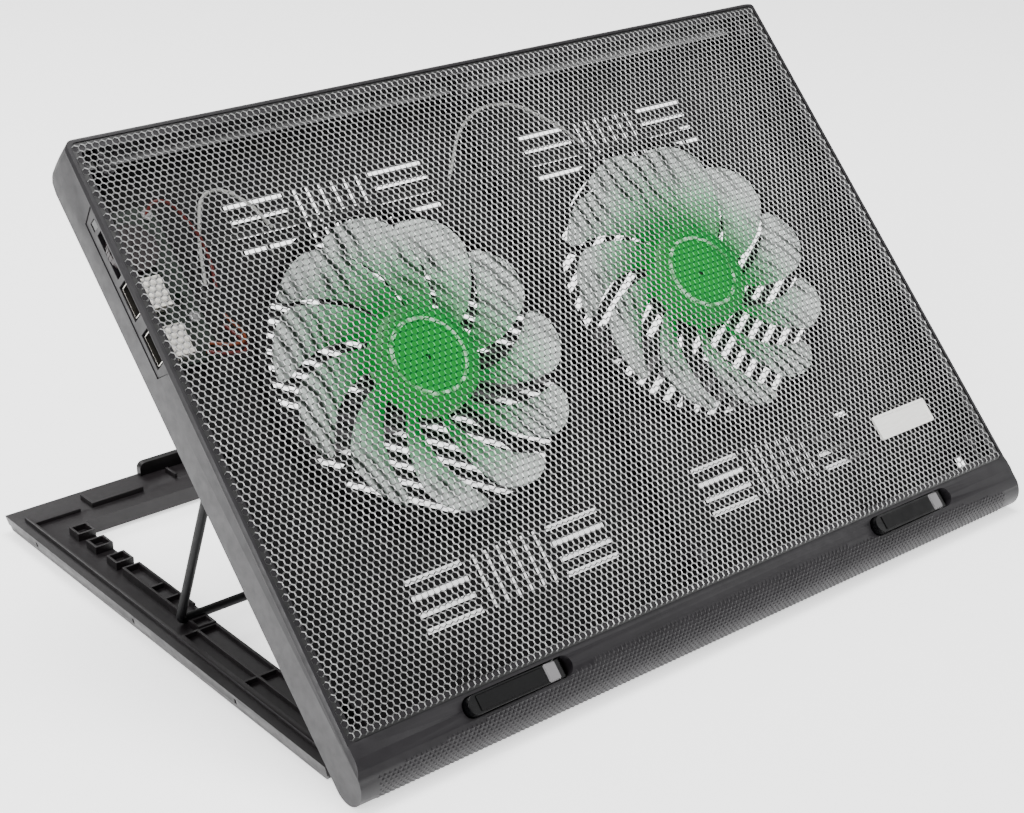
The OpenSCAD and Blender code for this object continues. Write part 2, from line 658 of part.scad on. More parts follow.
// Rubber pad let into the top of a stopper bar
module stopper_pad(i) {
  x = stop_pivot_x[i];
  color("#161618") on_deck() translate([x, stop_y, stop_pivot_z]) rotate([0, stop_raise, 0])
    block([-stop_len + 5, -stop_w / 2 + 1, 2.2], [-9, stop_w / 2 - 1, 3.2]);
}
module stopper_pad_left() { stopper_pad(0); }
module stopper_pad_right() { stopper_pad(1); }

module stopper_pins() {
  color("silver") on_deck() for (x = stop_pivot_x)
    translate([x, stop_y - 4.9, stop_pivot_z]) rotate([-90, 0, 0]) cylinder(h = 9.8, r = 0.8, $fn = 48);
}

base_frame();
ratchet_blocks();
rear_lug();
base_feet();
hinge_pins();
deck_frame();
bottom_cover();
mesh_panel();
name_plate();
port_panel();
indicator_lens();
usb_socket_rear();
usb_socket_front();
control_board();
indicator_led();
dial_potentiometer();
speed_dial();
fan_motor_left();
fan_motor_right();
fan_leds_left();
fan_leds_right();
fan_rotor_left();
fan_rotor_right();
fan_leads();
motor_screws();
cover_screws();
board_screws();
bail_seats();
prop_bail();
stopper_left();
stopper_right();
stopper_pad_left();
stopper_pad_right();
stopper_pins();
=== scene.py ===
"""Looks of the laptop cooling pad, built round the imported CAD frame. Lengths are in metres."""
import json
import math

import bmesh
import bpy
from mathutils import Matrix, Vector
from mathutils.bvhtree import BVHTree


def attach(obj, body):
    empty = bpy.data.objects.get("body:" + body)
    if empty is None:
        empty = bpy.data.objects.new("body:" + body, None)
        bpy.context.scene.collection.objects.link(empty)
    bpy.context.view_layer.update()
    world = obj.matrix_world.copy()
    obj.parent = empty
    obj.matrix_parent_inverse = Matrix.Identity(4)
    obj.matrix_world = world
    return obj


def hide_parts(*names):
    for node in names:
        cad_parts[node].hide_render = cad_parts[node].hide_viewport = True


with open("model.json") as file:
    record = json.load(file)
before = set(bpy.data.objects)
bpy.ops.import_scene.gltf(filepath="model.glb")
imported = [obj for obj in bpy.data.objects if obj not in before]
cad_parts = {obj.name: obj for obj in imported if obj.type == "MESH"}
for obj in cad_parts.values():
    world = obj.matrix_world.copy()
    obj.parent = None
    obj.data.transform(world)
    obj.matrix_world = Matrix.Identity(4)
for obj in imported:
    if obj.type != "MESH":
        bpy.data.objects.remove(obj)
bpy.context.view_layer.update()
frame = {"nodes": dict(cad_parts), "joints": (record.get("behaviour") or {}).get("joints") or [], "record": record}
MM = 0.001

# Camera at the photograph's angle
AIM = Vector((-0.1141, -0.1346, 0.1386))
VIEW_AZIMUTH = -39.43
VIEW_ELEVATION = 24.235
VIEW_DISTANCE = 0.70
LENS = 68.83

camera = bpy.data.objects.new("camera", bpy.data.cameras.new("camera"))
camera.data.lens = LENS
camera.data.sensor_width = 36
camera.data.clip_start = 0.02
camera.rotation_euler = (math.radians(90 - VIEW_ELEVATION), 0, math.radians(VIEW_AZIMUTH))
look = camera.rotation_euler.to_matrix() @ Vector((0, 0, -1))
camera.location = AIM - VIEW_DISTANCE * look
bpy.context.scene.collection.objects.link(camera)
bpy.context.scene.camera = camera

# Deck coordinates, in millimetres: x from the middle, y back from the perforated
# panel's front edge, z up from the deck's top plane
joints = {j["name"]: j for j in frame["joints"]}
hinge = Vector(joints["deck_tilt"]["pos_m"])
normal = Vector(joints["fan_spin_left"]["axis"])
TILT = math.atan2(-normal.y, normal.z)
HINGE_DEPTH = 16                 # deck top plane above the hinge axis, at the mesh front
DECK = (Matrix.Translation(hinge) @ Matrix.Rotation(TILT, 4, "X")
        @ Matrix.Translation((0, 0, HINGE_DEPTH * MM)) @ Matrix.Scale(MM, 4))
MESH_W, MESH_D, MESH_TOP = 375, 255, -0.6
FAN_X = 77.7
SOCKET_MID, SOCKET_HALF, SOCKET_Z = 177.5, 10.5, -5.3
FAN_Y = 132


def deck_point(x, y, z):
    return DECK @ Vector((x, y, z))


# ---------------------------------------------------------------- materials

class Nodes:
    """Short calls for building one material's node tree."""

    def __init__(self, name):
        self.mat = bpy.data.materials.new(name)
        self.mat.use_nodes = True
        self.tree = self.mat.node_tree
        self.bsdf = self.tree.nodes["Principled BSDF"]
        self.coords = self.tree.nodes.new("ShaderNodeTexCoord").outputs["Object"]

    def add(self, kind, **inputs):
        node = self.tree.nodes.new("ShaderNode" + kind)
        for key, value in inputs.items():
            self.feed(node.inputs[key.replace("_", " ")], value)
        return node

    def feed(self, socket, value):
        if isinstance(value, bpy.types.NodeSocket):
            self.tree.links.new(value, socket)
        else:
            socket.default_value = value

    def math(self, operation, a, b=0.0, clamp=False):
        node = self.tree.nodes.new("ShaderNodeMath")
        node.operation = operation
        node.use_clamp = clamp
        self.feed(node.inputs[0], a)
        self.feed(node.inputs[1], b)
        return node.outputs[0]

    def noise(self, scale, detail=4.0, vector=None):
        node = self.add("TexNoise", Scale=scale, Detail=detail)
        self.feed(node.inputs["Vector"], vector or self.coords)
        return node.outputs["Fac"]

    def ramp(self, fac, stops):
        node = self.tree.nodes.new("ShaderNodeValToRGB")
        self.feed(node.inputs[0], fac)
        elements = node.color_ramp.elements
        while len(elements) < len(stops):
            elements.new(0.5)
        for element, (place, colour) in zip(elements, stops):
            element.position = place
            element.color = (*colour, 1)
        return node.outputs["Color"]

    def blend(self, factor, first, second):
        node = self.tree.nodes.new("ShaderNodeMix")
        node.data_type = "RGBA"
        for socket, value in ((0, factor), (6, first), (7, second)):
            self.feed(node.inputs[socket], (*value, 1) if isinstance(value, tuple) else value)
        return node.outputs[2]

    def range(self, value, low, high, to_low, to_high):
        node = self.tree.nodes.new("ShaderNodeMapRange")
        for key, number in zip(("From Min", "From Max", "To Min", "To Max"), (low, high, to_low, to_high)):
            node.inputs[key].default_value = number
        self.feed(node.inputs["Value"], value)
        return node.outputs["Result"]

    def bump(self, height, distance, strength=1.0):
        node = self.add("Bump", Height=height, Distance=distance, Strength=strength)
        previous = self.bsdf.inputs["Normal"]
        if previous.is_linked:
            self.feed(node.inputs["Normal"], previous.links[0].from_socket)
        self.feed(previous, node.outputs["Normal"])

    def deck_axes(self):
        """Outputs x, y, z in deck millimetres."""
        mapping = self.tree.nodes.new("ShaderNodeMapping")
        mapping.vector_type = "POINT"
        inverse = DECK.inverted()
        mapping.inputs["Location"].default_value = inverse.translation
        mapping.inputs["Rotation"].default_value = (-TILT, 0, 0)
        mapping.inputs["Scale"].default_value = (1 / MM, 1 / MM, 1 / MM)
        self.feed(mapping.inputs["Vector"], self.coords)
        split = self.tree.nodes.new("ShaderNodeSeparateXYZ")
        self.feed(split.inputs[0], mapping.outputs["Vector"])
        return split.outputs


def shade(colour, factor):
    return tuple(min(1, c * factor) for c in colour)


def plastic(name, colour, roughness, grain=0.03, spread=0.18, grain_scale=2600, gloss=0.5):
    """Moulded plastic: spark-eroded grain, faint mottling and uneven gloss."""
    n = Nodes(name)
    mottle = n.noise(55, 6)
    stops = [(0.3, shade(colour, 1 - spread)), (0.7, shade(colour, 1 + spread))]
    n.feed(n.bsdf.inputs["Base Color"], n.ramp(mottle, stops))
    gloss_patches = n.range(n.noise(240, 3), 0.3, 0.7, roughness - 0.06, roughness + 0.07)
    n.feed(n.bsdf.inputs["Roughness"], gloss_patches)
    n.bsdf.inputs["Specular IOR Level"].default_value = gloss
    n.bump(n.noise(grain_scale, 2), grain * MM)
    return n


def metal(name, colour, roughness, scratch=0.01, streak=(1, 1, 1), metallic=1.0):
    """Bare metal with fine directional scratches."""
    n = Nodes(name)
    stretch = n.tree.nodes.new("ShaderNodeMapping")
    stretch.inputs["Scale"].default_value = streak
    n.feed(stretch.inputs["Vector"], n.coords)
    lines = n.noise(900, 5, stretch.outputs["Vector"])
    stops = [(0.3, shade(colour, 0.85)), (0.7, shade(colour, 1.08))]
    n.feed(n.bsdf.inputs["Base Color"], n.ramp(lines, stops))
    n.feed(n.bsdf.inputs["Roughness"], n.range(lines, 0.3, 0.7, roughness - 0.08, roughness + 0.1))
    n.bsdf.inputs["Metallic"].default_value = metallic
    n.bump(lines, scratch * MM)
    return n


def deck_plastic():
    """Deck shell: grained plastic with a fine parting line along its sides."""
    n = plastic("deck_plastic", (0.0105, 0.0094, 0.011), 0.4, grain=0.02, spread=0.16, gloss=0.36)
    # the parting line along the upper edge of both sides
    x, _, z = n.deck_axes()[:3]
    line = n.math("LESS_THAN", n.math("ABSOLUTE", n.math("ADD", z, 2.3)), 0.3)
    side = n.math("GREATER_THAN", n.math("ABSOLUTE", x), 188.8)
    groove = n.math("MULTIPLY", line, side)
    n.bump(n.math("SUBTRACT", 1.0, groove), 0.3 * MM)
    return n


def mesh_steel():
    """Perforated steel sheet, with a painted green glow from the fans on the webs round each hub."""
    n = Nodes("mesh_steel")
    blotch = n.noise(38, 5)
    steel = n.ramp(blotch, [(0.3, (0.2, 0.2, 0.2)), (0.7, (0.28, 0.28, 0.28))])
    n.feed(n.bsdf.inputs["Roughness"], n.range(n.noise(500, 3), 0.3, 0.7, 0.22, 0.34))
    n.bsdf.inputs["Metallic"].default_value = 0.9
    n.bump(n.noise(1500, 2), 0.012 * MM)
    # painted light: the fans' green glow is painted on the webs round each hub, as green colour and a faint
    # emission
    x, y = n.deck_axes()[:2]
    from_middle = n.math("SUBTRACT", n.math("ABSOLUTE", x), FAN_X)
    behind = n.math("SUBTRACT", y, FAN_Y)
    radius = n.math("SQRT", n.math("ADD", n.math("MULTIPLY", from_middle, from_middle),
                                   n.math("MULTIPLY", behind, behind)))
    painted_hub_light = n.math("POWER", n.range(radius, 8, 46, 1, 0), 1.5)
    n.bsdf.inputs["Emission Color"].default_value = (0.0, 1.0, 0.12, 1)
    n.feed(n.bsdf.inputs["Emission Strength"], n.math("MULTIPLY", painted_hub_light, 0.03))
    painted_green_tint = n.math("MULTIPLY", painted_hub_light, 1.5, clamp=True)
    n.feed(n.bsdf.inputs["Base Color"], n.blend(painted_green_tint, steel, (0.01, 0.11, 0.03)))
    return n


def rotor_plastic(name, fan_x):
    """Milky translucent blades with a painted green glow, in colour and emission, from the hub outwards, and
    painted shade in soft bars and patches.
    """
    n = Nodes(name)
    x, y = n.deck_axes()[:2]
    dx = n.math("SUBTRACT", x, fan_x)
    dy = n.math("SUBTRACT", y, FAN_Y)
    radius = n.math("SQRT", n.math("ADD", n.math("MULTIPLY", dx, dx), n.math("MULTIPLY", dy, dy)))
    # painted glow in the colour: near black at the hub, green further out, milky white outwards, with a wandering
    # edge and the hub's raised ring pale
    wander = n.math("MULTIPLY", n.math("SUBTRACT", n.noise(28, 3), 0.5), 26)
    reach = n.math("ADD", radius, wander)
    ring = n.math("LESS_THAN", n.math("ABSOLUTE", n.math("SUBTRACT", radius, 17)), 0.9)
    painted_glow_colour = n.ramp(n.range(n.math("ADD", reach, n.math("MULTIPLY", ring, 60)), 0, 70, 0, 1),
                  [(0.24, (0.0, 0.045, 0.008)), (0.44, (0.002, 0.17, 0.035)),
                   (0.64, (0.26, 0.56, 0.34)), (0.84, (0.72, 0.78, 0.74))])
    # painted shade: soft darker bars and patches on the milky blades stand for the cover's slots and ribs seen
    # through them
    bend = n.math("MULTIPLY", n.noise(60, 3), 9)
    slant = n.math("ADD", n.math("MULTIPLY", y, 0.35), bend)
    shade_bars = n.math("SINE", n.math("MULTIPLY", n.math("ADD", x, slant), 2 * math.pi / 6.5))
    shade_patches = n.range(n.noise(34, 4), 0.34, 0.56, 0, 1)
    painted_shade = n.range(n.math("MULTIPLY", shade_patches, n.math("ADD", shade_bars, 0.8)), -0.1, 1.7, 0, 1)
    n.feed(n.bsdf.inputs["Base Color"], n.blend(painted_shade, painted_glow_colour, (0.005, 0.012, 0.007)))
    n.feed(n.bsdf.inputs["Roughness"], n.range(n.noise(300, 3), 0.3, 0.7, 0.34, 0.46))
    n.bsdf.inputs["Specular IOR Level"].default_value = 0.25
    # painted glow: green emission fading out from the hub over the blades
    n.bsdf.inputs["Emission Color"].default_value = (0.0, 1.0, 0.1, 1)
    painted_glow_strength = n.math("POWER", n.range(reach, 12, 52, 1, 0), 1.6)
    n.feed(n.bsdf.inputs["Emission Strength"], n.math("MULTIPLY", painted_glow_strength, 0.34))
    n.bump(n.noise(420, 2), 0.02 * MM)
    return n


def glowing(name, colour, strength):
    n = plastic(name, colour, 0.2, grain=0.004)
    n.bsdf.inputs["Emission Color"].default_value = (*colour, 1)
    n.feed(n.bsdf.inputs["Emission Strength"], n.range(n.noise(600, 2), 0.2, 0.8, strength * 0.85, strength))
    return n


def socket_metal():
    """Bright shell outside, painted shade dark inside, with the pale contact tongue."""
    n = metal("socket_shell", (0.92, 0.89, 0.83), 0.42, streak=(6, 1, 1))
    shell = n.bsdf.inputs["Base Color"].links[0].from_socket
    y, z = n.deck_axes()[1:3]
    from_mid = n.math("ABSOLUTE", n.math("SUBTRACT", y, SOCKET_MID))
    across = n.math("ABSOLUTE", n.math("SUBTRACT", from_mid, SOCKET_HALF))
    height = n.math("SUBTRACT", z, SOCKET_Z)
    # painted shade: inside each socket mouth the shell is coloured near black and not metallic
    painted_shade_inside = n.math("MULTIPLY", n.math("LESS_THAN", across, 6.3),
                    n.math("LESS_THAN", n.math("ABSOLUTE", height), 2.55))
    tongue = n.math("MULTIPLY", n.math("LESS_THAN", across, 5.7),
                    n.math("LESS_THAN", n.math("ABSOLUTE", n.math("SUBTRACT", height, 1.2)), 0.95))
    colour = n.blend(painted_shade_inside, shell, (0.01, 0.009, 0.008))
    n.feed(n.bsdf.inputs["Base Color"], n.blend(tongue, colour, (0.8, 0.74, 0.6)))
    n.feed(n.bsdf.inputs["Metallic"], n.math("SUBTRACT", 1.0, painted_shade_inside))
    return n


def lamp_lens():
    n = plastic("lens_plastic", (0.012, 0.014, 0.013), 0.16, grain=0.003)
    n.bsdf.inputs["Transmission Weight"].default_value = 0.08
    return n


def laminate():
    """Green board with paler copper runs under its solder mask."""
    n = plastic("board_laminate", (0.003, 0.008, 0.005), 0.35, grain=0.004)
    voronoi = n.add("TexVoronoi", Scale=420.0)
    n.feed(voronoi.inputs["Vector"], n.coords)
    stops = [(0.25, (0.002, 0.005, 0.003)), (0.4, (0.004, 0.012, 0.006))]
    n.feed(n.bsdf.inputs["Base Color"], n.ramp(voronoi.outputs["Distance"], stops))
    return n


def painted(name, colour, roughness, bump=0.02):
    """Powder coat with its orange-peel skin."""
    n = plastic(name, colour, roughness, grain=bump, grain_scale=700)
    n.bsdf.inputs["Coat Weight"].default_value = 0.25
    n.bsdf.inputs["Coat Roughness"].default_value = 0.2
    return n


BASE_BLACK = (0.0075, 0.006, 0.0068)
MATERIALS = {
    "deck_plastic": deck_plastic(),
    "mesh_steel": mesh_steel(),
    "base_plastic": plastic("base_plastic", BASE_BLACK, 0.4, grain=0.02, spread=0.15, gloss=0.35),
    "ratchet_plastic": plastic("ratchet_plastic", shade(BASE_BLACK, 1.1), 0.38, grain=0.02, spread=0.15,
                               gloss=0.35),
    "lug_plastic": plastic("lug_plastic", shade(BASE_BLACK, 0.55), 0.42, grain=0.02, gloss=0.25),
    "foot_rubber": plastic("foot_rubber", (0.015, 0.015, 0.015), 0.75, grain=0.05),
    "cover_plastic": plastic("cover_plastic", (0.004, 0.0038, 0.004), 0.6, grain=0.025, gloss=0.2),
    "seat_plastic": plastic("seat_plastic", BASE_BLACK, 0.45),
    "panel_plastic": plastic("panel_plastic", (0.008, 0.007, 0.0082), 0.4, grain=0.02, gloss=0.32),
    "motor_plastic": plastic("motor_plastic", (0.008, 0.008, 0.008), 0.4),
    "pot_plastic": plastic("pot_plastic", (0.03, 0.03, 0.03), 0.3),
    "dial_plastic": plastic("dial_plastic", (0.009, 0.0035, 0.0045), 0.38, grain=0.015),
    "stopper_plastic": plastic("stopper_plastic", (0.002, 0.002, 0.0023), 0.3, grain=0.008, gloss=0.2),
    "pad_rubber": plastic("pad_rubber", (0.002, 0.002, 0.0022), 0.5, grain=0.03, gloss=0.2),
    "plate_metal": metal("plate_metal", (0.98, 0.96, 0.9), 0.42, streak=(0.15, 6, 6), metallic=0.25),
    "socket_shell": socket_metal(),
    "steel_pins": metal("steel_pins", (0.6, 0.6, 0.6), 0.28, streak=(0.1, 5, 5)),
    "screw_steel": metal("screw_steel", (0.3, 0.3, 0.3), 0.4),
    "screw_black": painted("screw_black", (0.008, 0.008, 0.008), 0.35, bump=0.01),
    "bail_wire": plastic("bail_wire", (0.004, 0.004, 0.0045), 0.5, grain=0.012, grain_scale=700, gloss=0.2),
    "lens_plastic": lamp_lens(),
    "led_resin": lamp_lens(),
    "green_led": glowing("green_led", (0.2, 1.0, 0.4), 6.0),
    "board_laminate": laminate(),
    "lead_insulation": plastic("lead_insulation", (0.006, 0.006, 0.006), 0.4, grain=0.006),
    "rotor_plastic": rotor_plastic("rotor_plastic", -FAN_X),
}
SLOTS = {s["node"]: s["material_slot"] for s in frame["record"]["subparts"]}


def paint(obj, material):
    obj.data.materials.clear()
    obj.data.materials.append(material.mat)


for name, node in frame["nodes"].items():
    paint(node, MATERIALS[SLOTS[name]])


# ---------------------------------------------------------------- pieces

def new_piece(name, verts, faces, body, slot, material=None, smooth=35):
    data = bpy.data.meshes.new(name)
    data.from_pydata(verts, [], faces)
    obj = bpy.data.objects.new(name, data)
    bpy.context.scene.collection.objects.link(obj)
    finish_piece(obj, body, slot, material, smooth)
    return obj


def finish_piece(obj, body, slot, material=None, smooth=35):
    paint(obj, material or MATERIALS[slot])
    if smooth:
        soft_shading(obj, smooth)
    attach(obj, body)


def soft_shading(obj, angle):
    """Smooth shading that keeps edges sharper than the angle."""
    obj.data.shade_smooth()
    obj.data.set_sharp_from_angle(angle=math.radians(angle))


def softened(node_name, body, width, segments=2, angle=32):
    """A copy of a CAD node with its flats merged and its edges rounded, standing for the node."""
    source = frame["nodes"][node_name]
    data = source.data.copy()
    obj = bpy.data.objects.new(node_name + "_shell", data)
    bpy.context.scene.collection.objects.link(obj)
    bm = bmesh.new()
    bm.from_mesh(data)
    bmesh.ops.remove_doubles(bm, verts=bm.verts, dist=2e-6)
    bmesh.ops.dissolve_limit(bm, angle_limit=math.radians(0.8), verts=bm.verts, edges=bm.edges)
    bm.to_mesh(data)
    bm.free()
    data.update()
    bevel = obj.modifiers.new("rounded", "BEVEL")
    bevel.width = width * MM
    bevel.segments = segments
    bevel.limit_method = "ANGLE"
    bevel.angle_limit = math.radians(angle)
    bevel.use_clamp_overlap = True
    bevel.harden_normals = True
    finish_piece(obj, body, SLOTS[node_name], None, 40)
    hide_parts(node_name)
    return obj


SOFTENED = [("base_frame", "base", 0.3), ("ratchet_blocks", "base", 0.16), ("rear_lug", "base", 0.5),
            ("deck_frame", "deck", 0.3), ("port_panel", "deck", 0.12), ("name_plate", "deck", 0.14),
            ("stopper_left", "left_stopper", 0.5), ("stopper_right", "right_stopper", 0.5)]
for node_name, body, width in SOFTENED:
    softened(node_name, body, width)


# The perforated sheet, in millimetres: hole pitch, a hole's and a cell's corner radius,
# how far a web falls from its ridge to the hole, thickness and plain margin
PITCH = 2.946
ROW_STEP = PITCH * math.sqrt(3) / 2
HOLE_R = 1.36
CELL_R = PITCH / math.sqrt(3)
WEB_DROP = 0.32
SHEET_T = 0.5
BORDER = 0.3
COLS = int((MESH_W - 2 * BORDER) / PITCH)
ROWS = int((MESH_D - 2 * BORDER) / ROW_STEP)
X_START = -(COLS - 1) * PITCH / 2
Y_START = MESH_D / 2 - (ROWS - 1) * ROW_STEP / 2


def perforated(row_from, row_to):
    """Sheet with hexagonal holes in close rows along x: ridged webs on top and the walls of each hole."""
    verts, faces, index = [], [], {}
    ring = [math.radians(60 * k + 30) for k in range(6)]

    def vert(x, y, z):
        key = (round(x, 3), round(y, 3), z)
        if key not in index:
            index[key] = len(verts)
            verts.append(deck_point(x, y, z))
        return index[key]

    for row in range(row_from, row_to):
        shift = PITCH / 2 if row % 2 else 0
        for col in range(COLS - row % 2):
            cx, cy = X_START + col * PITCH + shift, Y_START + row * ROW_STEP
            for k in range(6):
                a, b = ring[k], ring[(k + 1) % 6]
                outer_a = (cx + CELL_R * math.cos(a), cy + CELL_R * math.sin(a))
                outer_b = (cx + CELL_R * math.cos(b), cy + CELL_R * math.sin(b))
                inner_a = (cx + HOLE_R * math.cos(a), cy + HOLE_R * math.sin(a))
                inner_b = (cx + HOLE_R * math.cos(b), cy + HOLE_R * math.sin(b))
                top, low = MESH_TOP, MESH_TOP - SHEET_T
                brim = top - WEB_DROP
                web = (*inner_a, brim), (*outer_a, top), (*outer_b, top), (*inner_b, brim)
                wall = (*inner_b, brim), (*inner_b, low), (*inner_a, low), (*inner_a, brim)
                faces.append(tuple(vert(*corner) for corner in web))
                faces.append(tuple(vert(*corner) for corner in wall))
    return verts, faces


def border_sheet():
    """Solid rim round the perforated field, its inner edge stepping round the outer cells."""
    verts, faces = [], []
    x_high = -X_START + PITCH / 2
    y_low, y_high = Y_START - CELL_R, Y_START + (ROWS - 1) * ROW_STEP + CELL_R
    rim = MESH_W / 2 - BORDER, BORDER, MESH_D - BORDER

    def strip(inner, outer):
        start = len(verts)
        for (ix, iy), (ox, oy) in zip(inner, outer):
            verts.append(deck_point(ix, iy, MESH_TOP))
            verts.append(deck_point(ox, oy, MESH_TOP))
        for k in range(len(inner) - 1):
            a = start + 2 * k
            faces.append((a, a + 1, a + 3, a + 2))

    def flat_end(y, sign):
        pts = []
        for col in range(COLS):
            cx = X_START + col * PITCH
            pts += [(cx - PITCH / 2, y + sign * -CELL_R / 2), (cx, y)]
        pts.append((X_START + (COLS - 0.5) * PITCH, y + sign * -CELL_R / 2))
        return pts

    front = flat_end(y_low, -1)
    strip(front, [(x, rim[1]) for x, _ in front])
    last_offset = PITCH / 2 if (ROWS - 1) % 2 else 0
    back = [(x + last_offset, y) for x, y in flat_end(y_high, 1)]
    if last_offset:
        back = back[:-2]
    strip(back, [(x, rim[2]) for x, _ in back])
    for side in (-1, 1):
        pts = []
        for row in range(ROWS):
            cy = Y_START + row * ROW_STEP
            edge = x_high - (PITCH / 2 if row % 2 else 0)
            pts += [(side * edge, cy - CELL_R / 2), (side * edge, cy + CELL_R / 2)]
        outer = [(side * rim[0], y) for _, y in pts]
        strip(pts, outer)
        for y0, y1, k in ((rim[1], pts[0][1], 0), (pts[-1][1], rim[2], -1)):
            start = len(verts)
            x = pts[k][0]
            corners = (x, y0), (side * rim[0], y0), (side * rim[0], y1), (x, y1)
            verts.extend(deck_point(px, py, MESH_TOP) for px, py in corners)
            faces.append((start, start + 1, start + 2, start + 3))
    return verts, faces


half = ROWS // 2
mesh_front = new_piece("mesh_front", *perforated(0, half), "deck", "mesh_steel", smooth=0)
new_piece("mesh_back", *perforated(half, ROWS), "deck", "mesh_steel", smooth=0)
new_piece("mesh_rim", *border_sheet(), "deck", "mesh_steel", MATERIALS["screw_black"], smooth=0)
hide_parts("mesh_panel")


# The lip's nose and the knurled band over it. Low and top are arc lengths round the nose,
# from its foremost line, and bow is how much lower the band's top is at its ends.
NOSE_Y, NOSE_Z, NOSE_R = -11.5, -10.5, 9.2
KNURL_LOW, KNURL_TOP = -7.5, 18.5
KNURL_HALF, KNURL_BOW = 181, 7.5
KNURL_STEP_X, KNURL_STEP_ARC = 2.3, 1.3
KNURL_SINK, KNURL_LIFT = -0.03, 0.3


def knurl():
    """Rows of small raised diamonds over the front of the lip, laid on the deck's own surface."""
    shell = frame["nodes"]["deck_frame"].data
    tree = BVHTree.FromPolygons([v.co for v in shell.vertices], [tuple(p.vertices) for p in shell.polygons])
    verts, faces = [], []

    def on_lip(x, arc, lift):
        angle = arc / NOSE_R
        out = Vector((0, -math.cos(angle), math.sin(angle)))
        start = DECK @ (Vector((x, NOSE_Y, NOSE_Z)) + out * 30)
        way = DECK.to_3x3().normalized() @ -out
        place, facing, _, _ = tree.ray_cast(start, way, 40 * MM)
        return place + facing * lift * MM

    rows = int((KNURL_TOP - KNURL_LOW) / KNURL_STEP_ARC)
    for row in range(rows):
        arc = KNURL_LOW + row * KNURL_STEP_ARC
        for col in range(int(2 * KNURL_HALF / KNURL_STEP_X)):
            x = -KNURL_HALF + (col + (0.5 if row % 2 else 0)) * KNURL_STEP_X
            # the band narrows from above towards both ends
            if arc > KNURL_TOP - KNURL_BOW * (x / KNURL_HALF) ** 2:
                continue
            # and stops where the lip falls away into a stopper's pocket
            spot = DECK.inverted() @ on_lip(x, arc, 0)
            if math.hypot(spot.y - NOSE_Y, spot.z - NOSE_Z) < NOSE_R - 0.5:
                continue
            start = len(verts)
            for dx, da in ((-0.48, 0), (0, -0.96), (0.48, 0), (0, 0.96)):
                verts.append(on_lip(x + dx * KNURL_STEP_X, arc + da * KNURL_STEP_ARC, KNURL_SINK))
            verts.append(on_lip(x, arc, KNURL_LIFT))
            for k in range(4):
                faces.append((start + k, start + (k + 1) % 4, start + 4))
    return verts, faces


new_piece("lip_knurl", *knurl(), "deck", "deck_plastic", smooth=0)


def lathe(profile, count=96):
    """Verts and faces of a profile of (radius, height) turned round z."""
    verts, faces = [], []
    for i in range(count):
        a = 2 * math.pi * i / count
        verts += [(r * math.cos(a), r * math.sin(a), h) for r, h in profile]
    n = len(profile)
    for i in range(count):
        j = (i + 1) % count
        for k in range(n - 1):
            faces.append((i * n + k, j * n + k, j * n + k + 1, i * n + k + 1))
    return verts, faces


def blade(angle):
    """One swept blade as a closed thin shell, from the hub to the rounded tip."""
    rows, cols = 16, 7
    root, tip = 23.6, 67.0
    sweep, width_root, width_tip = math.radians(30), math.radians(17), math.radians(29)
    thick = 0.9
    top, bottom = [], []
    for i in range(rows + 1):
        t = i / rows
        r = root + (tip - root) * t
        middle = angle + sweep * t ** 1.15
        width = width_root + (width_tip - width_root) * t
        narrow = 1 - 0.35 * max(0, (t - 0.86) / 0.14) ** 2
        for j in range(cols + 1):
            s = j / cols - 0.5
            a = middle + s * width * narrow
            z = -8.6 - s * (7.4 - 1.6 * t) + 1.1 * (0.25 - s * s) * 4
            rr = r - 1.6 * (2 * s) ** 2 * t
            top.append((rr * math.cos(a), rr * math.sin(a), z))
            bottom.append((rr * math.cos(a), rr * math.sin(a), z - thick))
    verts = top + bottom
    count = len(top)
    faces = []
    for i in range(rows):
        for j in range(cols):
            p = i * (cols + 1) + j
            q = p + cols + 1
            faces.append((p, q, q + 1, p + 1))
            faces.append((count + p, count + p + 1, count + q + 1, count + q))
    edge = list(range(cols + 1))
    edge += [(i + 1) * (cols + 1) + cols for i in range(rows)]
    edge += [rows * (cols + 1) + cols - 1 - j for j in range(cols)]
    edge += [(rows - 1 - i) * (cols + 1) for i in range(rows - 1)]
    for k, p in enumerate(edge):
        q = edge[(k + 1) % len(edge)]
        faces.append((p, q, count + q, count + p))
    return verts, faces


BLADES = 11
# Radius and height round the hub: bore, face, raised ring, shoulder, skirt and back
HUB_PROFILE = [(1.56, -5.2), (1.56, -4.6), (15.6, -4.5), (16.2, -3.6), (17.5, -3.5), (18.2, -4.2),
               (22.6, -4.5), (23.8, -5.3), (24, -6.2), (24, -13.2), (22.4, -13.2), (22.3, -6.6),
               (1.56, -6.5), (1.56, -5.2)]


def rotor(side, body, replaces):
    fan_x = side * FAN_X
    turn = 0.2 if side > 0 else 0
    parts = [lathe(HUB_PROFILE)]
    parts += [blade(2 * math.pi * i / BLADES + turn) for i in range(BLADES)]
    verts, faces = [], []
    for part_verts, part_faces in parts:
        start = len(verts)
        verts += [deck_point(fan_x + x, FAN_Y + y, z) for x, y, z in part_verts]
        faces += [tuple(start + k for k in f) for f in part_faces]
    if side < 0:
        name, material = "rotor_left", MATERIALS["rotor_plastic"]
    else:
        name, material = "rotor_right", rotor_plastic("rotor_plastic_right", fan_x)
    obj = new_piece(name, verts, faces, body, "rotor_plastic", material, 40)
    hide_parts(replaces)


rotor(-1, "rotor_left", "fan_rotor_left")
rotor(1, "rotor_right", "fan_rotor_right")


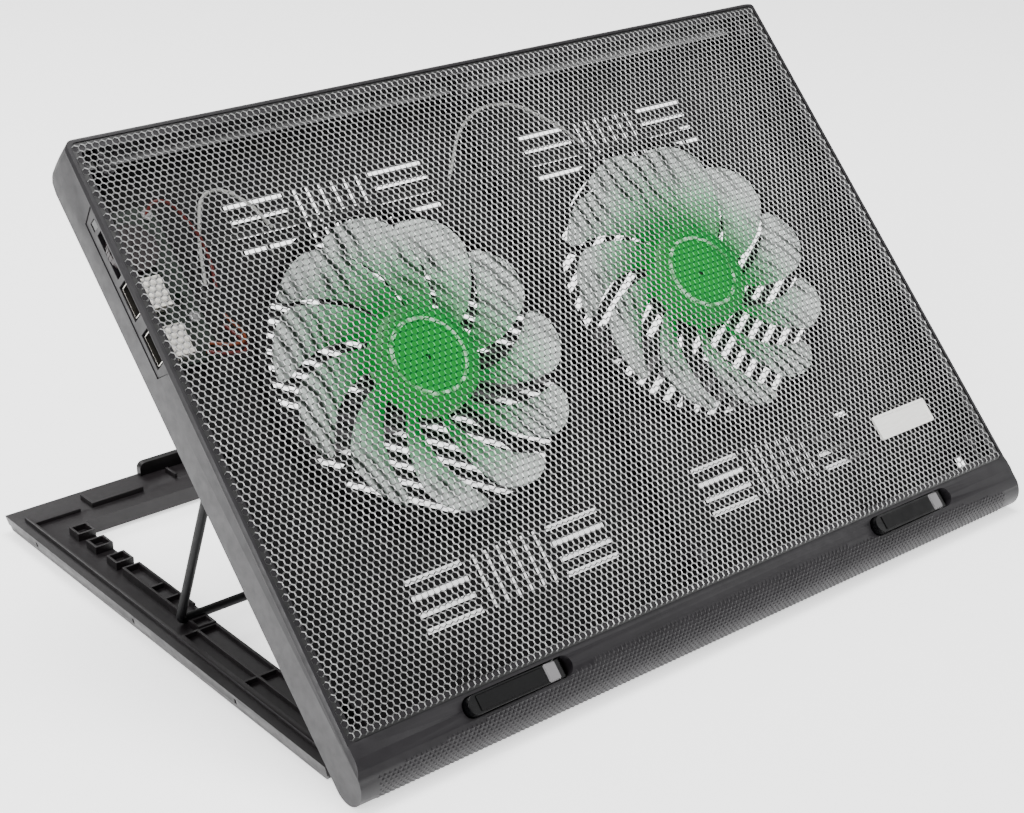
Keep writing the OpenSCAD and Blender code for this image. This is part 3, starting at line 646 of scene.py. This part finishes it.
def wire(name, points, radius, material, slot="lead_insulation"):
    """Round lead along smooth points in deck millimetres."""
    curve = bpy.data.curves.new(name, "CURVE")
    curve.dimensions = "3D"
    curve.bevel_depth = radius * MM
    curve.bevel_resolution = 3
    curve.resolution_u = 8
    spline = curve.splines.new("BEZIER")
    spline.bezier_points.add(len(points) - 1)
    for point, place in zip(spline.bezier_points, points):
        point.co = deck_point(*place)
        point.handle_left_type = point.handle_right_type = "AUTO"
    obj = bpy.data.objects.new(name, curve)
    bpy.context.scene.collection.objects.link(obj)
    bpy.context.view_layer.update()
    data = bpy.data.meshes.new_from_object(obj)
    bpy.data.objects.remove(obj)
    obj = bpy.data.objects.new(name, data)
    bpy.context.scene.collection.objects.link(obj)
    finish_piece(obj, "deck", slot, material, 60)


RED = plastic("red_insulation", (0.1, 0.008, 0.005), 0.35, grain=0.006)
ORANGE = plastic("orange_insulation", (0.17, 0.035, 0.008), 0.35, grain=0.006)
PALE = plastic("pale_insulation", (0.4, 0.4, 0.38), 0.35, grain=0.006)
TAB_GREY = plastic("tab_grey", (0.16, 0.155, 0.16), 0.45, grain=0.03)
TAB_SIZE = 6.2, 7.6, 1.4
# From the stopper's pivot to the middle of the tab, and the slope the stopper rests at
TAB_PLACE = -4.6, 0, 2.6
TAB_SLOPE = 5


def stopper_tab(name, body):
    """Pale block with rounded edges on the stopper's hinge end."""
    joint = Vector(joints["stopper_flip_" + name]["pos_m"])
    pivot = DECK.inverted() @ joint
    bm = bmesh.new()
    bmesh.ops.create_cube(bm, size=1)
    bmesh.ops.scale(bm, vec=TAB_SIZE, verts=bm.verts)
    bmesh.ops.bevel(bm, geom=bm.edges[:], offset=0.45, segments=3, affect="EDGES")
    raise_angle = Matrix.Rotation(math.radians(TAB_SLOPE), 4, "Y")
    bm.transform(DECK @ Matrix.Translation(pivot) @ raise_angle @ Matrix.Translation(TAB_PLACE))
    data = bpy.data.meshes.new("stopper_tab_" + name)
    bm.to_mesh(data)
    bm.free()
    obj = bpy.data.objects.new("stopper_tab_" + name, data)
    bpy.context.scene.collection.objects.link(obj)
    finish_piece(obj, body, "stopper_plastic", TAB_GREY, 40)


stopper_tab("left", "left_stopper")
stopper_tab("right", "right_stopper")

wire("lead_red",
     [(-167, 222, -8), (-160, 226, -6), (-150, 214, -8), (-146, 200, -13), (-148, 188, -14.6)],
     0.7, RED)
wire("lead_orange",
     [(-165, 164, -7.8), (-156, 160, -5.5), (-149, 163, -9), (-150, 176, -14.4)],
     0.7, ORANGE)
wire("lead_red_front",
     [(-168, 161, -7.8), (-160, 157, -5.2), (-151, 158, -8), (-152, 172, -14.4)],
     0.7, RED)
wire("lead_pale_left",
     [(-152, 190, -14.4), (-146, 212, -10), (-136, 226, -9), (-120, 220, -12), (-112, 207, -14.8)],
     0.75, PALE)
wire("lead_pale_right",
     [(-20, 209, -14), (0, 232, -9.5), (22, 236, -9), (44, 224, -11), (60, 209, -14.6)],
     0.75, PALE)

# ---------------------------------------------------------------- stage and light

FLOOR_HALF = 30.0
floor = bpy.data.meshes.new("floor")
floor.from_pydata([(x * FLOOR_HALF, y * FLOOR_HALF, 0) for x, y in ((-1, -1), (1, -1), (1, 1), (-1, 1))],
                  [], [(0, 1, 2, 3)])
floor_obj = bpy.data.objects.new("floor", floor)
bpy.context.scene.collection.objects.link(floor_obj)
floor_look = plastic("floor_paper", (0.93, 0.93, 0.93), 0.7, grain=0.05, spread=0.01)
floor_look.bsdf.inputs["Emission Color"].default_value = (1, 1, 1, 1)
floor_look.bsdf.inputs["Emission Strength"].default_value = 1.25
paint(floor_obj, floor_look)

world = bpy.data.worlds.new("studio")
world.use_nodes = True
world.node_tree.nodes["Background"].inputs["Color"].default_value = (1, 1, 1, 1)
world.node_tree.nodes["Background"].inputs["Strength"].default_value = 0.42
bpy.context.scene.world = world


def softbox(name, place, size, power):
    light = bpy.data.lights.new(name, "AREA")
    light.shape = "RECTANGLE"
    light.size, light.size_y = size
    light.energy = power
    obj = bpy.data.objects.new(name, light)
    obj.location = place
    obj.rotation_euler = (Vector((0, 0, 0.1)) - Vector(place)).to_track_quat("-Z", "Y").to_euler()
    bpy.context.scene.collection.objects.link(obj)


softbox("key", (-1.3, -0.5, 1.0), (0.7, 0.7), 20)
softbox("top", (0.1, 0.1, 1.6), (0.9, 0.7), 34)
softbox("fill", (1.4, -0.9, 0.9), (1.2, 0.9), 6)
softbox("rim", (-0.3, 1.3, 1.1), (1.4, 0.6), 16)
